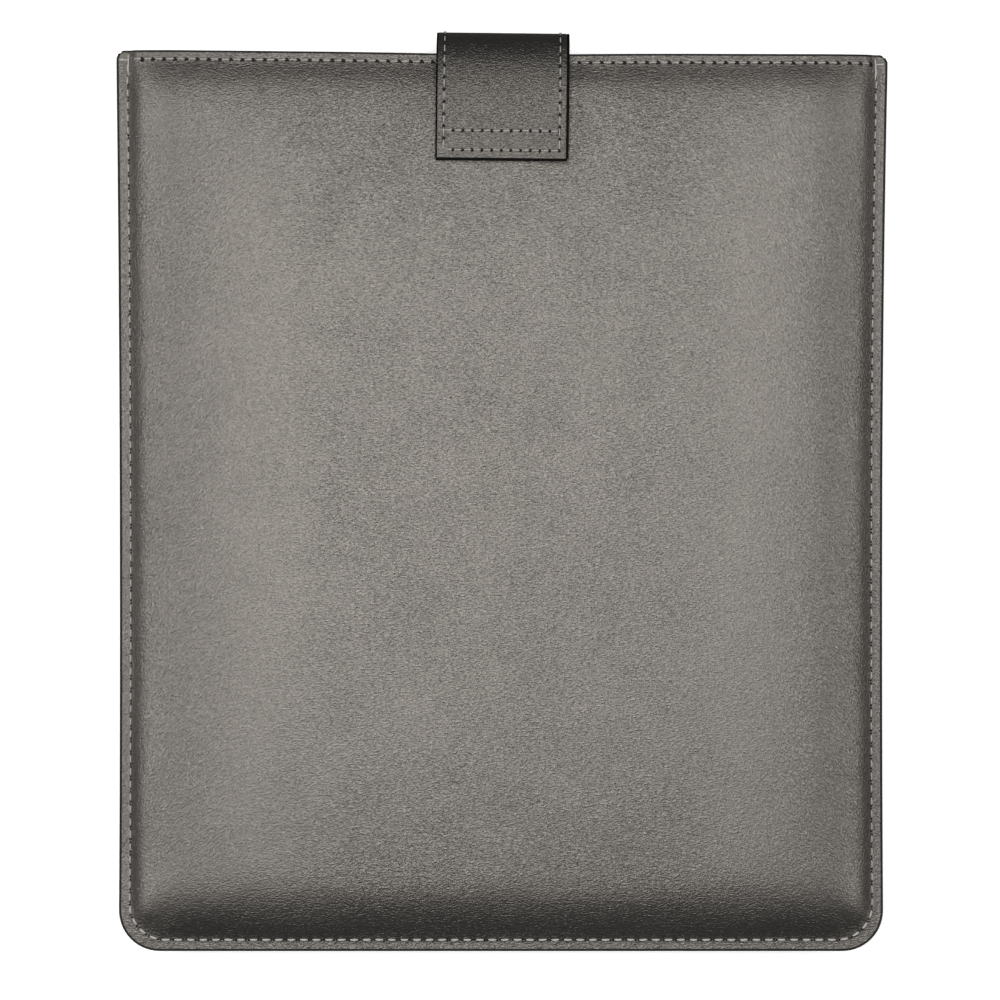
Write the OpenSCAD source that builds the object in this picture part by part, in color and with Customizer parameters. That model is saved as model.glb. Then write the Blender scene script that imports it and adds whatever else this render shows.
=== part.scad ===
// Padded leather sleeve for a 10-inch class tablet, lying on its back.
// X runs across the case, Y from its bottom edge to its mouth, Z from its back to its front.
// The origin is the centre of the flat back. All sizes are in millimetres.
// Two padded panels are sewn together along the sides and the bottom. A strap sewn into the
// back panel comes over the mouth, and its magnetic tab holds on the front.

/* [Sleeve] */
// Width across the sewn side edges
case_w = 225; // [200:1:260]
// Length from the bottom edge to the mouth
case_l = 264; // [240:1:300]
// Thickness between the flat padded faces
case_h = 19.6; // [18:0.2:24]
// Outer radius of the two bottom corners
corner_r = 11.8; // [9:0.2:15]

/* [Layers] */
// Thickness of the outer leather
leather_t = 1; // [0.8:0.1:1.2]
// Thickness of the lining cloth, and of the facing inside the mouth
lining_t = 0.6; // [0.4:0.1:0.8]
// Thickness of each foam pad
foam_t = 3; // [2.6:0.1:4]
// Width of the flat sewn edge outside the padding
band_w = 3.6; // [3.2:0.1:4.4]
// Distance over which the padding rises from a side seam
side_slope = 15.4; // [12:0.2:20]
// Distance over which the padding rises from the bottom seam
end_slope = 17.4; // [12:0.2:22]
// Thickness of the paint on the cut edges
paint_t = 0.3; // [0.2:0.1:0.5]

/* [Mouth] */
// Width of the flat stitched lip along the mouth
lip_w = 3.2; // [2.8:0.1:4]
// Distance over which the padding rises from the lip
mouth_slope = 11; // [8:0.5:16]
// Depth of the leather facing inside the mouth
facing_d = 15; // [12:0.5:25]

/* [Strap] */
// Width of the strap and its tab
strap_w = 38.8; // [30:0.2:50]
// Thickness of the leather that lines the strap
strap_lining_t = 0.8; // [0.6:0.1:1]
// Gap between the mouth edge and the strap that passes it
strap_gap = 4.1; // [3.5:0.1:6]
// Radius of the strap's two folds, at the middle of its thickness
fold_r = 3; // [2.6:0.1:3.6]
// Distance that the tab reaches below the mouth edge
tab_reach = 31.5; // [28:0.5:45]
// Distance that the strap's sewn end reaches into the back panel
root_depth = 10; // [8:0.5:12]
// Thickness of the stiffener in the tab
core_t = 0.6; // [0.4:0.1:0.8]

/* [Magnetic closure] */
// Length of the magnet across the tab
magnet_l = 30; // [20:1:30]
// Width of the magnet
magnet_w = 4.6; // [3:0.2:5]
// Length of the steel plate under the front leather
keeper_l = 32; // [24:1:36]
// Width of the steel plate
keeper_w = 8; // [6:0.5:10]
// Thickness of the steel plate
keeper_t = 0.6; // [0.4:0.1:0.8]

/* [Stitching] */
// Pitch of the stitches along the sides and the bottom
seam_pitch = 3.7; // [3:0.1:5]
// Pitch of the stitches along the mouth
mouth_pitch = 3.27; // [3:0.01:5]
// Pitch of the stitches along the strap
strap_pitch = 3.4; // [3:0.1:5]
// Radius of the thread
thread_r = 0.3; // [0.2:0.05:0.35]

/* [Hidden] */
$fn = 48;

// ---- heights of the layers, for the front half ----
mid = case_h / 2;
rise = mid - leather_t - lining_t;  // how far the cover climbs from the seam to the flat
pocket_rise = rise - foam_t;        // how far the lining climbs
strap_t = leather_t + strap_lining_t;
front_dip = foam_t;                 // the cover meets the facing at the front lip
rear_dip = foam_t - strap_t;        // the strap's sewn end fits in the back lip

// ---- stations across the padding: [side inset, end inset, height share, corner radius] ----
mouth_y = case_l / 2;
pad_steps = [0, 0.1, 0.22, 0.36, 0.5, 0.66, 0.82, 1];
flat_corner_r = 5;                  // corner radius where the padding reaches its full height
function puff(u) = 1 - pow(1 - u, 2);
function station(u) = [
    band_w + u * side_slope, band_w + u * end_slope, puff(u),
    (corner_r - band_w) * (1 - u) + flat_corner_r * u
];
pad_rings = [for (u = pad_steps) station(u)];
skin_rings = concat([[0, 0, 0, corner_r]], pad_rings);
foam_rings = [for (i = [1 : len(pad_rings) - 1]) pad_rings[i]];

// ---- distances down from the mouth ----
mouth_steps = [0.12, 0.32, 0.6, 1];
slope_ys = [for (v = mouth_steps) mouth_y - lip_w - v * mouth_slope];
lip_y = mouth_y - lip_w;
skin_ys = concat([mouth_y, lip_y], slope_ys);
rear_foam_ys = concat([mouth_y - 0.3, lip_y], slope_ys);
lining_y = mouth_y - facing_d;
function dip_share(y) = pow(1 - min(1, max(0, (lip_y - y) / mouth_slope)), 2);

// Heights of the four surfaces at height share h and distance y, with the lip sunk by dip
function cover_top(h, y, dip) = mid + lining_t + leather_t + h * (rise - dip * dip_share(y));
function cover_bottom(h, y, dip) = cover_top(h, y, dip) - leather_t;
function lining_top(h) = mid + lining_t + pocket_rise * h;
function lining_bottom(h) = mid + pocket_rise * h;

// ---- strap ----
bridge_y = mouth_y + strap_gap;                       // inner face of the bridge
bridge_mid_y = bridge_y + strap_t / 2;
root_z = mid - pocket_rise - lining_t - strap_t;      // underside of the sewn end
root_mid_z = root_z + strap_t / 2;
root_y = mouth_y - root_depth;
tab_z = case_h + 0.3;                                 // underside of the tab
tab_t = strap_t + core_t;
tab_mid_z = tab_z + tab_t / 2;
tab_end_y = mouth_y - tab_reach;
tab_face_z = tab_z + tab_t;
half_fold = PI / 4;                                   // a quarter turn's half length, in radii
hinge_y = bridge_mid_y - fold_r * (1 - half_fold);
low_hinge_z = root_mid_z + fold_r * (1 - half_fold);
high_hinge_z = tab_mid_z - fold_r * (1 - half_fold);
knuckle_r = 0.95;
knuckle_room = 1.25;                                  // plates that turn stop this far away

// ---- stitching ----
seam_inset = 3.1;
mouth_inset = 2.3;
stitch_share = 0.76;                                  // visible part of each pitch
lift = thread_r + 0.1;                                // thread centre above the leather
strap_inset = 2;
tab_row_inset = 2.2;
tab_second_row = 8.1;
tab_row_pitch = 2.9;
magnet_inset = 2.7;                                   // magnet's edge from the tab's end

leather_color = "dimgray";
foam_color = "silver";
lining_color = "slategray";
thread_color = "lightgray";
paint_color = "black";

// ---- one layer of a padded panel ----
// A ring runs down the left side, round both corners and up the right side.
arc_steps = 6;
function ring_points(s, ys) = let (
    x = case_w / 2 - s[0], y = -case_l / 2 + s[1], r = s[3]
) concat(
    [for (v = ys) [-x, v]],
    [for (i = [0 : arc_steps]) let (a = 180 + 90 * i / arc_steps)
        [-x + r + r * cos(a), y + r + r * sin(a)]],
    [for (i = [0 : arc_steps]) let (a = 270 + 90 * i / arc_steps)
        [x - r + r * cos(a), y + r + r * sin(a)]],
    [for (i = [len(ys) - 1 : -1 : 0]) [x, ys[i]]]
);

// A closed layer between two surfaces, each a function of height share and distance
module layer(rings, ys, top, bottom) {
    n = 2 * (len(ys) + arc_steps + 1);
    m = len(rings);
    flat = [for (s = rings) for (p = ring_points(s, ys)) [p[0], p[1], s[2]]];
    points = concat(
        [for (p = flat) [p[0], p[1], top(p[2], p[1])]],
        [for (p = flat) [p[0], p[1], bottom(p[2], p[1])]]
    );
    under = m * n;
    last = (m - 1) * n;
    // The mouth end, from the left edge to the right one
    end = concat([for (i = [0 : m - 1]) i * n], [for (i = [m - 1 : -1 : 0]) i * n + n - 1]);
    slopes = [for (i = [0 : m - 2]) for (j = [0 : n - 2])
        [i * n + j, (i + 1) * n + j, (i + 1) * n + j + 1, i * n + j + 1]];
    rungs = [for (j = [0 : n / 2 - 2])
        [last + j, last + n - 1 - j, last + n - 2 - j, last + j + 1]];
    faces = concat(
        [for (q = concat(slopes, rungs)) each [[q[0], q[1], q[2]], [q[0], q[2], q[3]]]],
        [for (q = concat(slopes, rungs)) each [
            [q[0] + under, q[2] + under, q[1] + under],
            [q[0] + under, q[3] + under, q[2] + under]
        ]],
        [for (j = [0 : n - 2]) each [[j, j + 1, j + 1 + under], [j, j + 1 + under, j + under]]],
        [for (k = [0 : len(end) - 2]) each [
            [end[k + 1], end[k], end[k] + under],
            [end[k + 1], end[k] + under, end[k + 1] + under]
        ]]
    );
    polyhedron(points, faces);
}

// A strip across the mouth with the panel's section, from y back by depth
module mouth_strip(y, depth, top, bottom) {
    left = [for (s = skin_rings) [s[0] - case_w / 2, s[2]]];
    right = [for (i = [len(left) - 1 : -1 : 0]) [-left[i][0], left[i][1]]];
    across = concat(left, right);
    back = [for (i = [len(across) - 1 : -1 : 0]) across[i]];
    translate([0, y, 0])
        rotate([90, 0, 0])
            linear_extrude(depth)
                polygon(concat(
                    [for (p = across) [p[0], bottom(p[1])]],
                    [for (p = back) [p[0], top(p[1])]]
                ));
}

// The back half is the front half turned over.
module turned_over() {
    translate([0, 0, case_h])
        mirror([0, 0, 1])
            children();
}

module cover(dip) {
    layer(
        skin_rings, skin_ys,
        function (h, y) cover_top(h, y, dip), function (h, y) cover_bottom(h, y, dip)
    );
}

module foam(ys, dip) {
    layer(
        foam_rings, ys,
        function (h, y) cover_bottom(h, y, dip), function (h, y) lining_top(h)
    );
}

module lining() {
    layer(
        skin_rings, [lining_y],
        function (h, y) lining_top(h), function (h, y) lining_bottom(h)
    );
}

module facing() {
    mouth_strip(
        mouth_y, facing_d, function (h) lining_top(h), function (h) lining_bottom(h)
    );
}

module mouth_paint(dip) {
    mouth_strip(
        mouth_y + paint_t, paint_t,
        function (h) cover_top(h, mouth_y, dip), function (h) lining_bottom(h)
    );
}

// ---- stitches ----
// One straight stitch of a thread, centred, along X
module stitch(length, r = thread_r) {
    rotate([0, 90, 0])
        cylinder(r = r, h = length, center = true);
}

// A row of stitches along X, centred
module stitch_row(length, pitch, r = thread_r) {
    count = floor(length / pitch);
    for (i = [0 : count - 1])
        translate([(i - (count - 1) / 2) * pitch, 0, 0])
            stitch(stitch_share * pitch, r);
}

// The stitches of the seam round the sides and the bottom, at height z
module seam_stitches(z) {
    r = corner_r - seam_inset;
    leg = case_l - corner_r - 2;
    for (side = [-1, 1]) {
        translate([side * (case_w / 2 - seam_inset), mouth_y - 2 - leg / 2, z])
            rotate([0, 0, 90])
                stitch_row(leg, seam_pitch);
        for (a = [15, 45, 75])
            translate([side * (case_w / 2 - corner_r + r * cos(a)), -mouth_y + corner_r - r * sin(a), z])
                rotate([0, 0, side * (90 - a)])
                    stitch(seam_pitch * 0.95);
    }
    translate([0, -mouth_y + seam_inset, z])
        stitch_row(case_w - 2 * corner_r, seam_pitch);
}

// The stitches along a lip, which tilt with the rise of the padding at its ends
module lip_stitches(dip) {
    reach = case_w / 2 - band_w - 2;
    y = mouth_y - mouth_inset;
    count = 2 * floor(reach / mouth_pitch) + 1;
    for (i = [0 : count - 1]) {
        x = (i - (count - 1) / 2) * mouth_pitch;
        u = min(1, (case_w / 2 - abs(x) - band_w) / side_slope);
        tilt = atan(2 * (1 - u) / side_slope * (rise - dip));
        translate([x, y, cover_top(puff(u), y, dip)])
            rotate([0, sign(x) * tilt, 0])
                translate([0, 0, lift])
                    stitch(stitch_share * mouth_pitch);
    }
}

// ---- flat pieces of the strap ----
// A plate of the strap's width between two corners in the YZ plane
module strap_plate(y0, y1, z0, z1) {
    translate([-strap_w / 2, y0, z0])
        cube([strap_w, y1 - y0, z1 - z0]);
}

module knuckle(z) {
    translate([0, hinge_y, z])
        rotate([0, 90, 0])
            cylinder(r = knuckle_r, h = strap_w, center = true);
}

// A flat bar with round corners, centred on x and y, standing on z
module bar(length, width, thickness, r, y, z) {
    translate([0, y, z]) {
        translate([-length / 2 + r, -width / 2, 0])
            cube([length - 2 * r, width, thickness]);
        translate([-length / 2, -width / 2 + r, 0])
            cube([length, width - 2 * r, thickness]);
        for (i = [-1, 1], j = [-1, 1])
            translate([i * (length / 2 - r), j * (width / 2 - r), 0])
                cylinder(r = r, h = thickness);
    }
}

// The case's outline as a slab, grown by g, and its height at the seam
module outline_slab(g) {
    seam_h = 2 * (leather_t + lining_t);
    translate([0, 0, mid - seam_h / 2]) {
        translate([-case_w / 2 - g, -mouth_y + corner_r, 0])
            cube([case_w + 2 * g, case_l - corner_r, seam_h]);
        translate([-case_w / 2 + corner_r, -mouth_y - g, 0])
            cube([case_w - 2 * corner_r, corner_r + g, seam_h]);
        for (side = [-1, 1])
            translate([side * (case_w / 2 - corner_r), -mouth_y + corner_r, 0])
                cylinder(r = corner_r + g, h = seam_h, $fn = 96);
    }
}

magnet_y = tab_end_y + magnet_inset + magnet_w / 2;
keeper_z = case_h - leather_t - keeper_t;

// ---- front panel ----
module front_cover() {
    color(leather_color)
        cover(front_dip);
}

module front_foam() {
    clear = 0.2;
    color(foam_color)
        difference() {
            foam(slope_ys, front_dip);
            // Room for the steel plate
            translate([-keeper_l / 2 - clear, magnet_y - keeper_w / 2 - clear, keeper_z])
                cube([keeper_l + 2 * clear, keeper_w + 2 * clear, foam_t]);
        }
}

module front_lining() {
    color(lining_color)
        lining();
}

module front_facing() {
    color(leather_color)
        facing();
}

module front_mouth_thread() {
    color(thread_color)
        lip_stitches(front_dip);
}

module front_mouth_edge_paint() {
    color(paint_color)
        mouth_paint(front_dip);
}

module keeper_plate() {
    color("gainsboro")
        bar(keeper_l, keeper_w, keeper_t, 1, magnet_y, keeper_z);
}

// ---- back panel ----
module rear_cover() {
    color(leather_color)
        turned_over()
            cover(rear_dip);
}

module rear_foam() {
    clear = 0.8;
    color(foam_color)
        difference() {
            turned_over()
                foam(rear_foam_ys, rear_dip);
            // Room for the strap's sewn end
            translate([-strap_w / 2 - clear, root_y - clear, -1])
                cube([strap_w + 2 * clear, root_depth + 2 * clear, mid]);
        }
}

module rear_lining() {
    color(lining_color)
        turned_over()
            lining();
}

module rear_facing() {
    color(leather_color)
        turned_over()
            facing();
}

module rear_mouth_thread() {
    color(thread_color)
        turned_over()
            lip_stitches(rear_dip);
}

module rear_mouth_edge_paint() {
    clear = 0.1;
    color(paint_color)
        difference() {
            turned_over()
                mouth_paint(rear_dip);
            translate([-strap_w / 2 - clear, mouth_y - 1, root_z - clear])
                cube([strap_w + 2 * clear, 2, strap_t + 2 * clear]);
        }
}

// ---- seam ----
module seam_thread_front() {
    color(thread_color)
        seam_stitches(mid + leather_t + lining_t + lift);
}

module seam_thread_rear() {
    color(thread_color)
        seam_stitches(mid - leather_t - lining_t - lift);
}

module seam_edge_paint() {
    color(paint_color)
        difference() {
            outline_slab(paint_t);
            outline_slab(0);
        }
}

// ---- strap, sewn into the back panel ----
module strap_root_outer() {
    color(leather_color) {
        strap_plate(root_y, hinge_y, root_z, root_z + leather_t);
        knuckle(low_hinge_z);
    }
}

module strap_root_lining() {
    color(leather_color)
        strap_plate(root_y, hinge_y - knuckle_room, root_z + leather_t, root_z + strap_t);
}

// A second row of stitches through the strap's sewn end, inside the mouth row
module strap_anchor_thread() {
    y = lip_y - 2.5;
    r = 0.25;
    color(thread_color)
        turned_over()
            translate([0, y, cover_top(1, y, rear_dip) + r + 0.1])
                stitch_row(strap_w - 2 * strap_inset, mouth_pitch, r);
}

// ---- bridge, the part of the strap that passes the mouth ----
module bridge_outer() {
    color(leather_color) {
        strap_plate(
            bridge_y + strap_lining_t, bridge_y + strap_t, low_hinge_z + knuckle_room, high_hinge_z
        );
        knuckle(high_hinge_z);
    }
}

module bridge_lining() {
    color(leather_color)
        strap_plate(
            bridge_y, bridge_y + strap_lining_t,
            low_hinge_z + knuckle_room, high_hinge_z - knuckle_room
        );
}

module bridge_thread() {
    height = high_hinge_z - low_hinge_z - 2 * knuckle_room;
    color(thread_color)
        for (side = [-1, 1])
            translate([side * (strap_w / 2 - strap_inset), bridge_y + strap_t + lift, (low_hinge_z + high_hinge_z) / 2])
                rotate([0, 90, 0])
                    stitch_row(height, strap_pitch);
}

// ---- tab, the part of the strap that holds on the front ----
tab_back_y = hinge_y - knuckle_room;

module tab_outer() {
    color(leather_color)
        strap_plate(tab_end_y, tab_back_y, tab_face_z - leather_t, tab_face_z);
}

module tab_lining() {
    color(leather_color)
        strap_plate(tab_end_y, tab_back_y, tab_z, tab_z + strap_lining_t);
}

module tab_core() {
    edge = 2 * strap_inset - 0.6;
    y0 = tab_end_y + tab_second_row + 0.9;
    color("white")
        translate([-strap_w / 2 + edge / 2, y0, tab_z + strap_lining_t])
            cube([strap_w - edge, tab_back_y - 4 - y0, core_t]);
}

module tab_magnet() {
    color("darkgray")
        bar(magnet_l, magnet_w, core_t, 0.8, magnet_y, tab_z + strap_lining_t);
}

module tab_border_thread() {
    length = tab_back_y - tab_end_y - tab_row_inset;
    color(thread_color)
        translate([0, 0, tab_face_z + lift]) {
            for (side = [-1, 1])
                translate([side * (strap_w / 2 - strap_inset), tab_end_y + tab_row_inset + length / 2, 0])
                    rotate([0, 0, 90])
                        stitch_row(length, strap_pitch);
            translate([0, tab_end_y + tab_row_inset, 0])
                stitch_row(strap_w - 2 * strap_inset - 1, tab_row_pitch);
        }
}

module tab_cross_thread() {
    color(thread_color)
        translate([0, tab_end_y + tab_second_row, tab_face_z + lift])
            stitch_row(strap_w - 2 * strap_inset - 1, tab_row_pitch);
}

module tab_edge_paint() {
    color(paint_color)
        translate([0, 0, tab_z]) {
            for (side = [-1, 1])
                translate([side * (strap_w + paint_t) / 2 - paint_t / 2, tab_end_y - paint_t, 0])
                    cube([paint_t, tab_back_y - tab_end_y + paint_t, tab_t]);
            translate([-strap_w / 2, tab_end_y - paint_t, 0])
                cube([strap_w, paint_t, tab_t]);
        }
}

front_cover();
front_foam();
front_lining();
front_facing();
front_mouth_thread();
front_mouth_edge_paint();
rear_cover();
rear_foam();
rear_lining();
rear_facing();
rear_mouth_thread();
rear_mouth_edge_paint();
seam_thread_front();
seam_thread_rear();
seam_edge_paint();
keeper_plate();
strap_root_outer();
strap_root_lining();
strap_anchor_thread();
bridge_outer();
bridge_lining();
bridge_thread();
tab_outer();
tab_lining();
tab_core();
tab_magnet();
tab_border_thread();
tab_cross_thread();
tab_edge_paint();
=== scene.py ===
# %% [markdown]
# # A padded leather sleeve for a tablet
# The real sleeve is sewn from two padded leather panels. A leather strap comes over the open
# edge, and its stitched tab is held on the front by a magnet. This lesson dresses the packed
# CAD model of that sleeve: the covers are drawn to their padded section and eased a little by
# cloth, and the stitches, painted edges and strap are laid on top of them.

# %% Load the frame
import math
import random
import bmesh
import bpy
from mathutils import Matrix, Vector
from mathutils.bvhtree import BVHTree
from mathutils.geometry import interpolate_bezier


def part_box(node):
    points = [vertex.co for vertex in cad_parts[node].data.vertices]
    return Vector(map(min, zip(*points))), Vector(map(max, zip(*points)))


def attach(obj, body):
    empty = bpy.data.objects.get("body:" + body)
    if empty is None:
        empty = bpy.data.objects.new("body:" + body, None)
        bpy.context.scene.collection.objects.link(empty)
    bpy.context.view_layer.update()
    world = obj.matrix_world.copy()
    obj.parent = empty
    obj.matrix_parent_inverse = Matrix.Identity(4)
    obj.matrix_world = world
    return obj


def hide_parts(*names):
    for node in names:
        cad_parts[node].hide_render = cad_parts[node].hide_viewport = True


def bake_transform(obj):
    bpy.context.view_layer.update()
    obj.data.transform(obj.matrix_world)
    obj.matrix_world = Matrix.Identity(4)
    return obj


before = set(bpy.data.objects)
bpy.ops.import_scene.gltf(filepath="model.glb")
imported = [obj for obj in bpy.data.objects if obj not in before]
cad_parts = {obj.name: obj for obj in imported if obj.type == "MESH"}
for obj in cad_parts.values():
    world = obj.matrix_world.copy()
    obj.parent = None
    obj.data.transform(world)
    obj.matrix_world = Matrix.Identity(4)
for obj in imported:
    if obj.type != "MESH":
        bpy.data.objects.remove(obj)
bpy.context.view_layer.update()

# %% [markdown]
# ## Sizes
# Every place comes from the CAD model's boxes, so a change there moves the pieces here too.
# The rest are a maker's own numbers: thread thickness, how far in a seam runs, and so on.

# %% Read the main sizes from the CAD nodes
MM = 0.001
cover_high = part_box("front_cover")[1]
half_w = cover_high.x
mouth_y = cover_high.y
case_h = cover_high.z
seam_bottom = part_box("seam_edge_paint")[0].z
seam_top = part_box("seam_edge_paint")[1].z
middle = (seam_top + seam_bottom) / 2
facing_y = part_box("front_facing")[0].y
pocket_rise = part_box("front_lining")[1].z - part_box("front_lining")[0].z - 0.6 * MM
leather = 1.0 * MM
lining = 0.6 * MM
rise = case_h - seam_top
band = 3.6 * MM
side_slope = 15.4 * MM
end_slope = 17.4 * MM
lip = 3.2 * MM
mouth_slope = 12.0 * MM
strap_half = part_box("tab_outer")[1].x - 0.45 * MM
print("half width", half_w, "mouth", mouth_y, "thickness", case_h, "rise", round(rise, 5))

# %% [markdown]
# ## Helpers
# Operators act on what is selected, so each step starts by clearing the selection and
# choosing one object.

# %% Selection and modifiers
def only(obj):
    """Makes obj the one selected and active object."""
    bpy.ops.object.select_all(action="DESELECT")
    obj.hide_set(False)
    obj.select_set(True)
    bpy.context.view_layer.objects.active = obj
    return obj


def apply(obj, name):
    """Applies one modifier of obj."""
    only(obj)
    bpy.ops.object.modifier_apply(modifier=name)


def finish_piece(obj, body, replaces=()):
    """Smooth shading, the body it rides on, and the CAD nodes it stands for."""
    only(obj)
    bpy.ops.object.shade_smooth()
    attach(obj, body)
    if replaces:
        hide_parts(*replaces)
    print(obj.name, len(obj.data.vertices), "vertices")
    return obj


# %% [markdown]
# ## The studio
# A long lens looks straight down on the sleeve, so its outline keeps its true shape. One wide soft box
# hangs overhead and one stands at either side. They are wide across the sleeve and narrow
# along it, so the flat middle and the side slopes shine while the slopes at both ends fall
# away into shade. The floor is a plain pale sheet.

# %% Camera, lights and floor
scene = bpy.context.scene
scene.view_settings.view_transform = "Standard"
lens, sensor, seen = 180.0, 36.0, 294.3 * MM
camera = bpy.data.objects.new("camera", bpy.data.cameras.new("camera"))
scene.collection.objects.link(camera)
camera.data.lens = lens
camera.data.sensor_width = sensor
camera.data.clip_end = 20
camera.location = (-0.3 * MM, 0.5 * MM, seam_top + seen * lens / sensor)
scene.camera = camera


def soft_box(name, place, aim, size, power, colour=(1, 1, 1)):
    """A square area light that the camera doesn't see."""
    data = bpy.data.lights.new(name, "AREA")
    data.shape = "RECTANGLE"
    data.size, data.size_y = size
    data.energy = power
    data.color = colour
    light = bpy.data.objects.new(name, data)
    light.location = place
    light.rotation_euler = (Vector(aim) - Vector(place)).to_track_quat("-Z", "Y").to_euler()
    light.visible_camera = False
    scene.collection.objects.link(light)
    return light


soft_box("overhead_box", (-0.05, 0.10, 1.3), (0, 0.04, 0), (1.1, 0.5), 9.2)
soft_box("left_box", (-1.15, 0.10, 0.85), (0, 0.04, 0), (1.3, 0.42), 10.0)
soft_box("right_box", (1.15, 0.10, 0.85), (0, 0.04, 0), (1.3, 0.42), 8.0)

scene.world = bpy.data.worlds.new("studio_air")
scene.world.use_nodes = True
air = scene.world.node_tree.nodes["Background"]
air.inputs["Color"].default_value = (0.95, 0.97, 1.0, 1)
air.inputs["Strength"].default_value = 0.065

bpy.ops.mesh.primitive_plane_add(size=6, location=(0, 0, 0))
floor = bpy.context.object
floor.name = "floor"

# %% [markdown]
# ## Shader tools
# Each material is a small node tree. These two helpers make a node with its values and wire
# it up, so that the trees below read like a recipe.

# %% Node helpers
def node(tree, kind, inputs=None, **settings):
    """Adds a node, sets its properties, and fills or links its inputs."""
    made = tree.nodes.new(kind)
    for name, value in settings.items():
        setattr(made, name, value)
    for name, value in (inputs or {}).items():
        socket = made.inputs[name]
        if isinstance(value, bpy.types.NodeSocket):
            tree.links.new(value, socket)
        else:
            socket.default_value = value
    return made


def math_node(tree, operation, first, second=0.0, clamp=False):
    made = node(tree, "ShaderNodeMath", {0: first, 1: second}, operation=operation)
    made.use_clamp = clamp
    return made.outputs[0]


def blend_colours(tree, share, first, second):
    made = tree.nodes.new("ShaderNodeMix")
    made.data_type = "RGBA"
    for socket, value in ((0, share), (6, first), (7, second)):
        if isinstance(value, bpy.types.NodeSocket):
            tree.links.new(value, made.inputs[socket])
        else:
            made.inputs[socket].default_value = value
    return made.outputs[2]


def new_group(name, inputs, outputs):
    """An empty shader group with its sockets. Inputs are (name, kind, default)."""
    group = bpy.data.node_groups.new(name, "ShaderNodeTree")
    for title, kind, value in inputs:
        socket = group.interface.new_socket(title, in_out="INPUT", socket_type=kind)
        socket.default_value = value
    for title, kind in outputs:
        group.interface.new_socket(title, in_out="OUTPUT", socket_type=kind)
    return group, node(group, "NodeGroupInput").outputs, node(group, "NodeGroupOutput").inputs


def new_material(name, **shader_values):
    """A material with one Principled shader, whose plain values are set on its sockets."""
    material = bpy.data.materials.new(name)
    material.use_nodes = True
    shader = material.node_tree.nodes["Principled BSDF"]
    for title, value in shader_values.items():
        shader.inputs[title.replace("_", " ")].default_value = value
    return material, material.node_tree, shader


# %% [markdown]
# ## Leather grain
# Soft glazed leather has a skin of fine ripples. They lie level across the middle and the
# ends, where it is pulled to the seams, and slant near the sides. Stretched noises at three
# angles make them, masked by place, and they are deeper near the seams. The group puts out a
# height, a colour and a roughness, and each leather takes its own amounts.

# %% The leather grain group
FLOAT, COLOUR = "NodeSocketFloat", "NodeSocketColor"
grain, grain_in, grain_out = new_group(
    "leather_grain",
    [("Ripple Scale", FLOAT, 2200.0), ("Dark", COLOUR, (0, 0, 0, 1)),
     ("Light", COLOUR, (1, 1, 1, 1)), ("Roughness", FLOAT, 0.45)],
    [("Height", FLOAT), ("Colour", COLOUR), ("Roughness", FLOAT)],
)


def ripples(tree, place, given, degrees):
    """Fine ridges that run one way, a few times longer than they are wide."""
    turned = node(
        tree, "ShaderNodeVectorRotate", {"Vector": place, "Angle": math.radians(degrees)},
        rotation_type="Z_AXIS",
    )
    drawn = node(
        tree, "ShaderNodeVectorMath", {0: turned.outputs[0], 1: (0.5, 1.0, 1.0)}, operation="MULTIPLY"
    )
    return node(
        tree, "ShaderNodeTexNoise",
        {"Vector": drawn.outputs[0], "Scale": given["Ripple Scale"], "Detail": 1.0, "Roughness": 0.5,
         "Distortion": 0.6},
    ).outputs[0]


def ramp(tree, value, low, high):
    """0 below low, 1 above high, smooth between."""
    made = node(tree, "ShaderNodeMapRange", {"Value": value, "From Min": low, "From Max": high},
                interpolation_type="SMOOTHSTEP")
    return made.outputs[0]


def mixed(tree, share, first, second):
    made = tree.nodes.new("ShaderNodeMix")
    for socket, value in ((0, share), (2, first), (3, second)):
        tree.links.new(value, made.inputs[socket])
    return made.outputs[0]


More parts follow.
